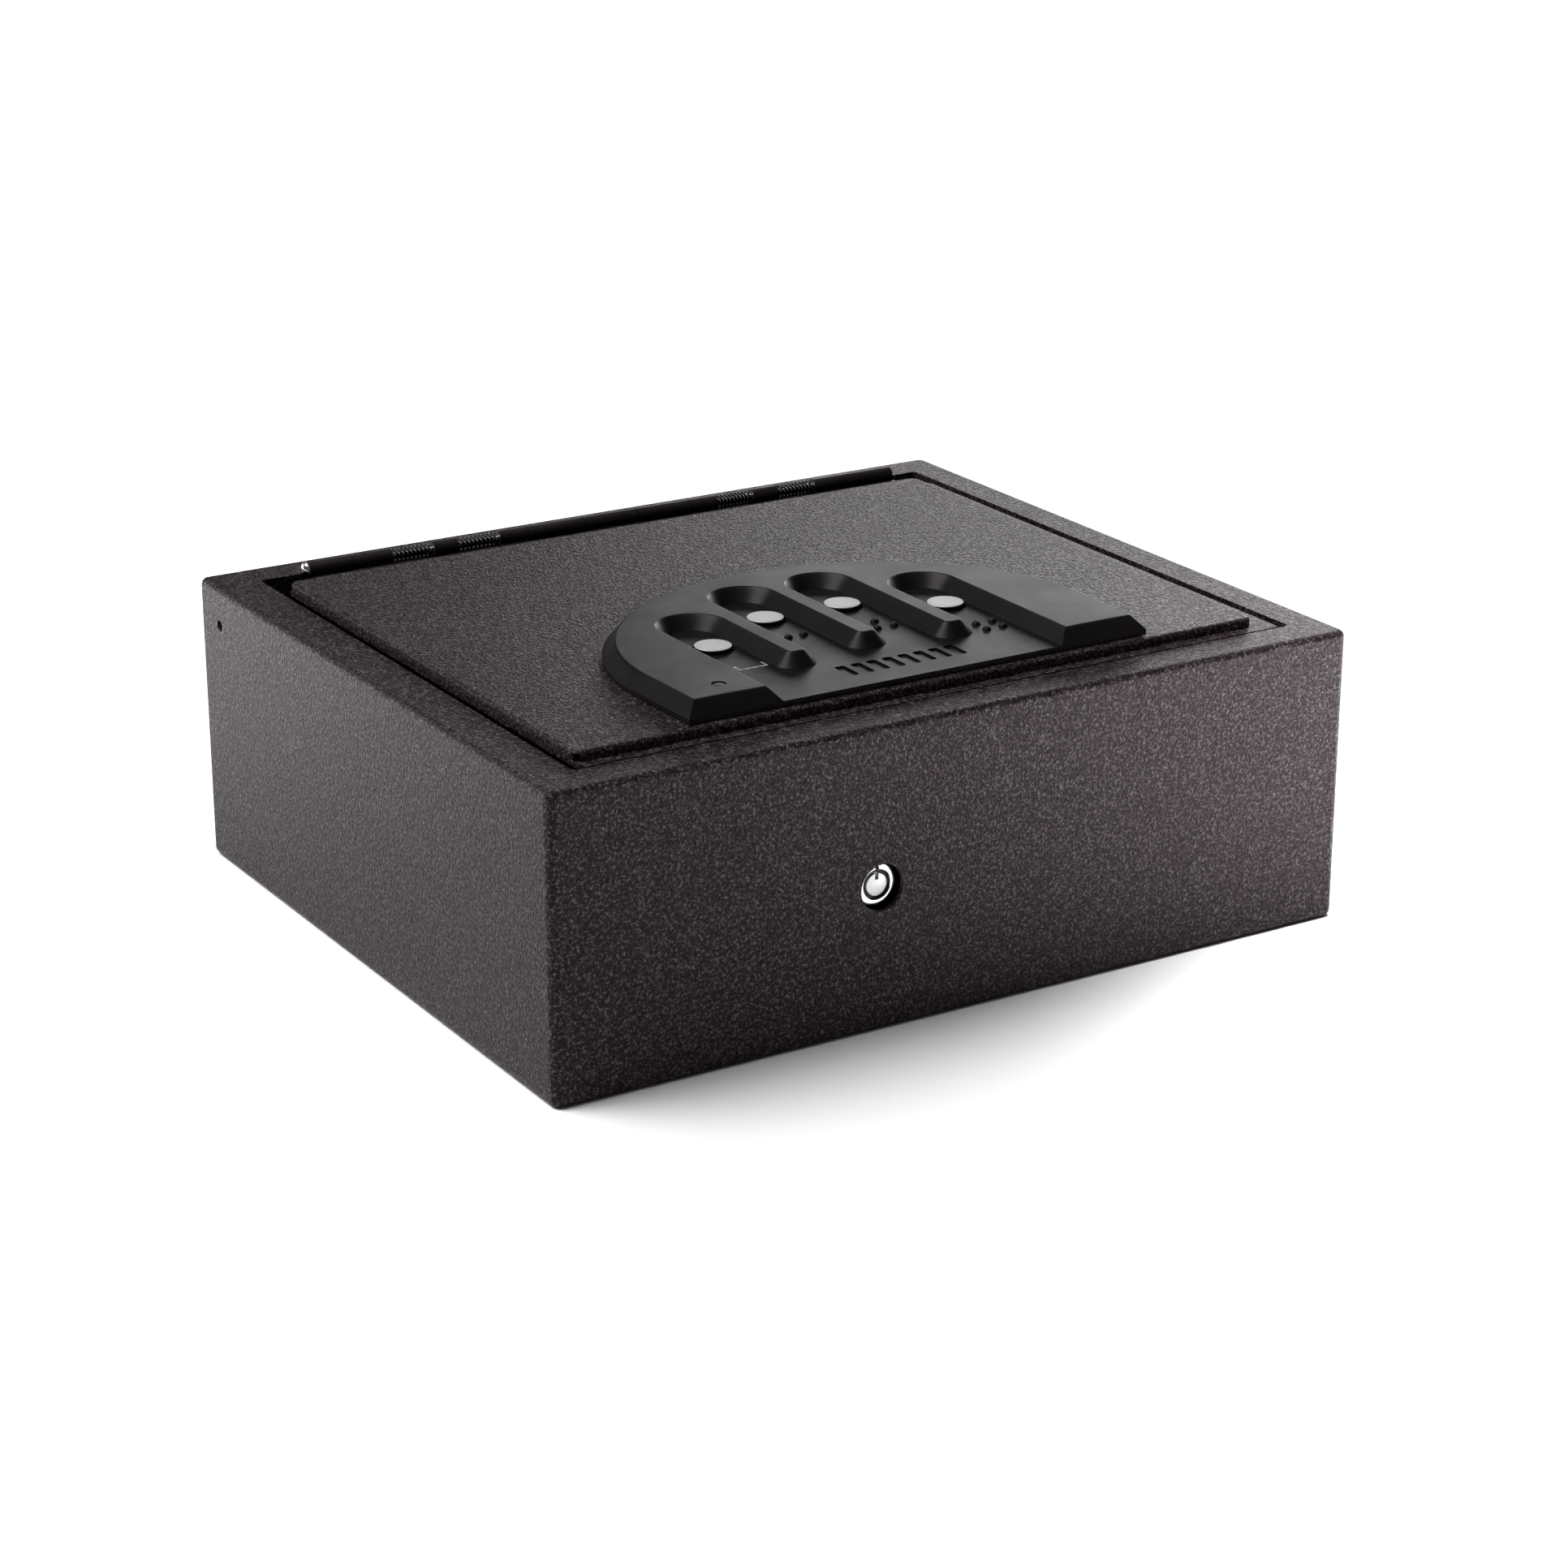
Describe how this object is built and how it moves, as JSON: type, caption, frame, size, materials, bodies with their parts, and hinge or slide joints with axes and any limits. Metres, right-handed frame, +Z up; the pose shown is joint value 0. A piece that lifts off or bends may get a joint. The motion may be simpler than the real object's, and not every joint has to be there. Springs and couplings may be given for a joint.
{
  "type": "top-opening pistol safe",
  "caption": "Low steel box safe with a sprung hinged lid, a moulded finger-guide keypad with push buttons, a solenoid latch and an override key lock.",
  "frame": {"origin": "bottom centre of the case, on the surface it stands on", "axes": "+Z up, -Y out of the front face with the key lock, +X to the right as seen from the front"},
  "size_m": [0.337, 0.287, 0.1255],
  "materials": {
    "powder_coat": "charcoal black textured powder coat with a fine sparkle",
    "moulding": "matt black moulded plastic with a fine grain",
    "dark_steel": "black oxide, semi-gloss",
    "zinc_steel": "zinc plated",
    "bright_chrome": "polished",
    "button_metal": "satin silver",
    "black_rubber": "matt",
    "foam": "fine-celled charcoal foam",
    "circuit_board": "green solder mask",
    "battery_case": "plain wrapped metal case",
    "lens": "clear dark red"
  },
  "bodies": {
    "case": {"case_shell": "powder_coat", "floor_foam": "foam", "latch_keeper": "zinc_steel", "lid_stop_left": "zinc_steel", "lid_stop_right": "zinc_steel", "stop_pad_left": "black_rubber", "stop_pad_right": "black_rubber", "lock_mount": "zinc_steel", "lock_shell": "bright_chrome", "lock_nut": "zinc_steel", "hinge_case_leaf": "dark_steel", "hinge_pin": "bright_chrome", "torsion_spring_1": "dark_steel", "torsion_spring_2": "dark_steel", "torsion_spring_3": "dark_steel", "torsion_spring_4": "dark_steel"},
    "lid": {"lid_panel": "powder_coat", "lid_inner_plate": "powder_coat", "lid_foam": "foam", "hinge_lid_leaf": "dark_steel", "keypad_housing": "moulding", "keypad_board": "circuit_board", "status_lens": "lens", "latch_bracket": "zinc_steel", "solenoid": "dark_steel", "latch_spring": "zinc_steel", "control_box": "moulding", "control_board": "circuit_board", "battery": "battery_case", "box_screw_1": "zinc_steel", "box_screw_2": "zinc_steel", "box_screw_3": "zinc_steel", "bracket_rivet_1": "zinc_steel", "bracket_rivet_2": "zinc_steel"},
    "button_1": {"button_cap_1": "button_metal", "button_stem_1": "black_rubber"},
    "button_2": {"button_cap_2": "button_metal", "button_stem_2": "black_rubber"},
    "button_3": {"button_cap_3": "button_metal", "button_stem_3": "black_rubber"},
    "button_4": {"button_cap_4": "button_metal", "button_stem_4": "black_rubber"},
    "latch": {"latch_bolt": "zinc_steel", "solenoid_plunger": "zinc_steel"},
    "key_plug": {"lock_plug": "bright_chrome", "lock_cam": "zinc_steel", "cam_screw": "zinc_steel"},
    "battery_door": {"battery_cover": "moulding"}
  },
  "joints": [
    {"name": "lid_hinge", "type": "hinge", "parent": "case", "child": "lid", "pos_m": [0, 0.1228, 0.1164], "axis": [-1, 0, 0], "range_deg": [0, 100], "deforming": ["torsion_spring_1", "torsion_spring_2", "torsion_spring_3", "torsion_spring_4"]},
    {"name": "button_1_press", "type": "slide", "parent": "lid", "child": "button_1", "axis": [0, 0, -1], "range_m": [0, 0.0012], "stiffness_N_per_m": 800, "springref_m": -0.0005},
    {"name": "button_2_press", "type": "slide", "parent": "lid", "child": "button_2", "axis": [0, 0, -1], "range_m": [0, 0.0012], "stiffness_N_per_m": 800, "springref_m": -0.0005},
    {"name": "button_3_press", "type": "slide", "parent": "lid", "child": "button_3", "axis": [0, 0, -1], "range_m": [0, 0.0012], "stiffness_N_per_m": 800, "springref_m": -0.0005},
    {"name": "button_4_press", "type": "slide", "parent": "lid", "child": "button_4", "axis": [0, 0, -1], "range_m": [0, 0.0012], "stiffness_N_per_m": 800, "springref_m": -0.0005},
    {"name": "latch_slide", "type": "slide", "parent": "lid", "child": "latch", "axis": [1, 0, 0], "range_m": [-0.009, 0], "deforming": ["latch_spring"]},
    {"name": "key_turn", "type": "hinge", "parent": "case", "child": "key_plug", "pos_m": [-0.037, -0.117, 0.054], "axis": [0, 1, 0], "range_deg": [0, 90]},
    {"name": "battery_cover_slide", "type": "slide", "parent": "lid", "child": "battery_door", "axis": [1, 0, 0], "range_m": [0, 0.03]}
  ]
}
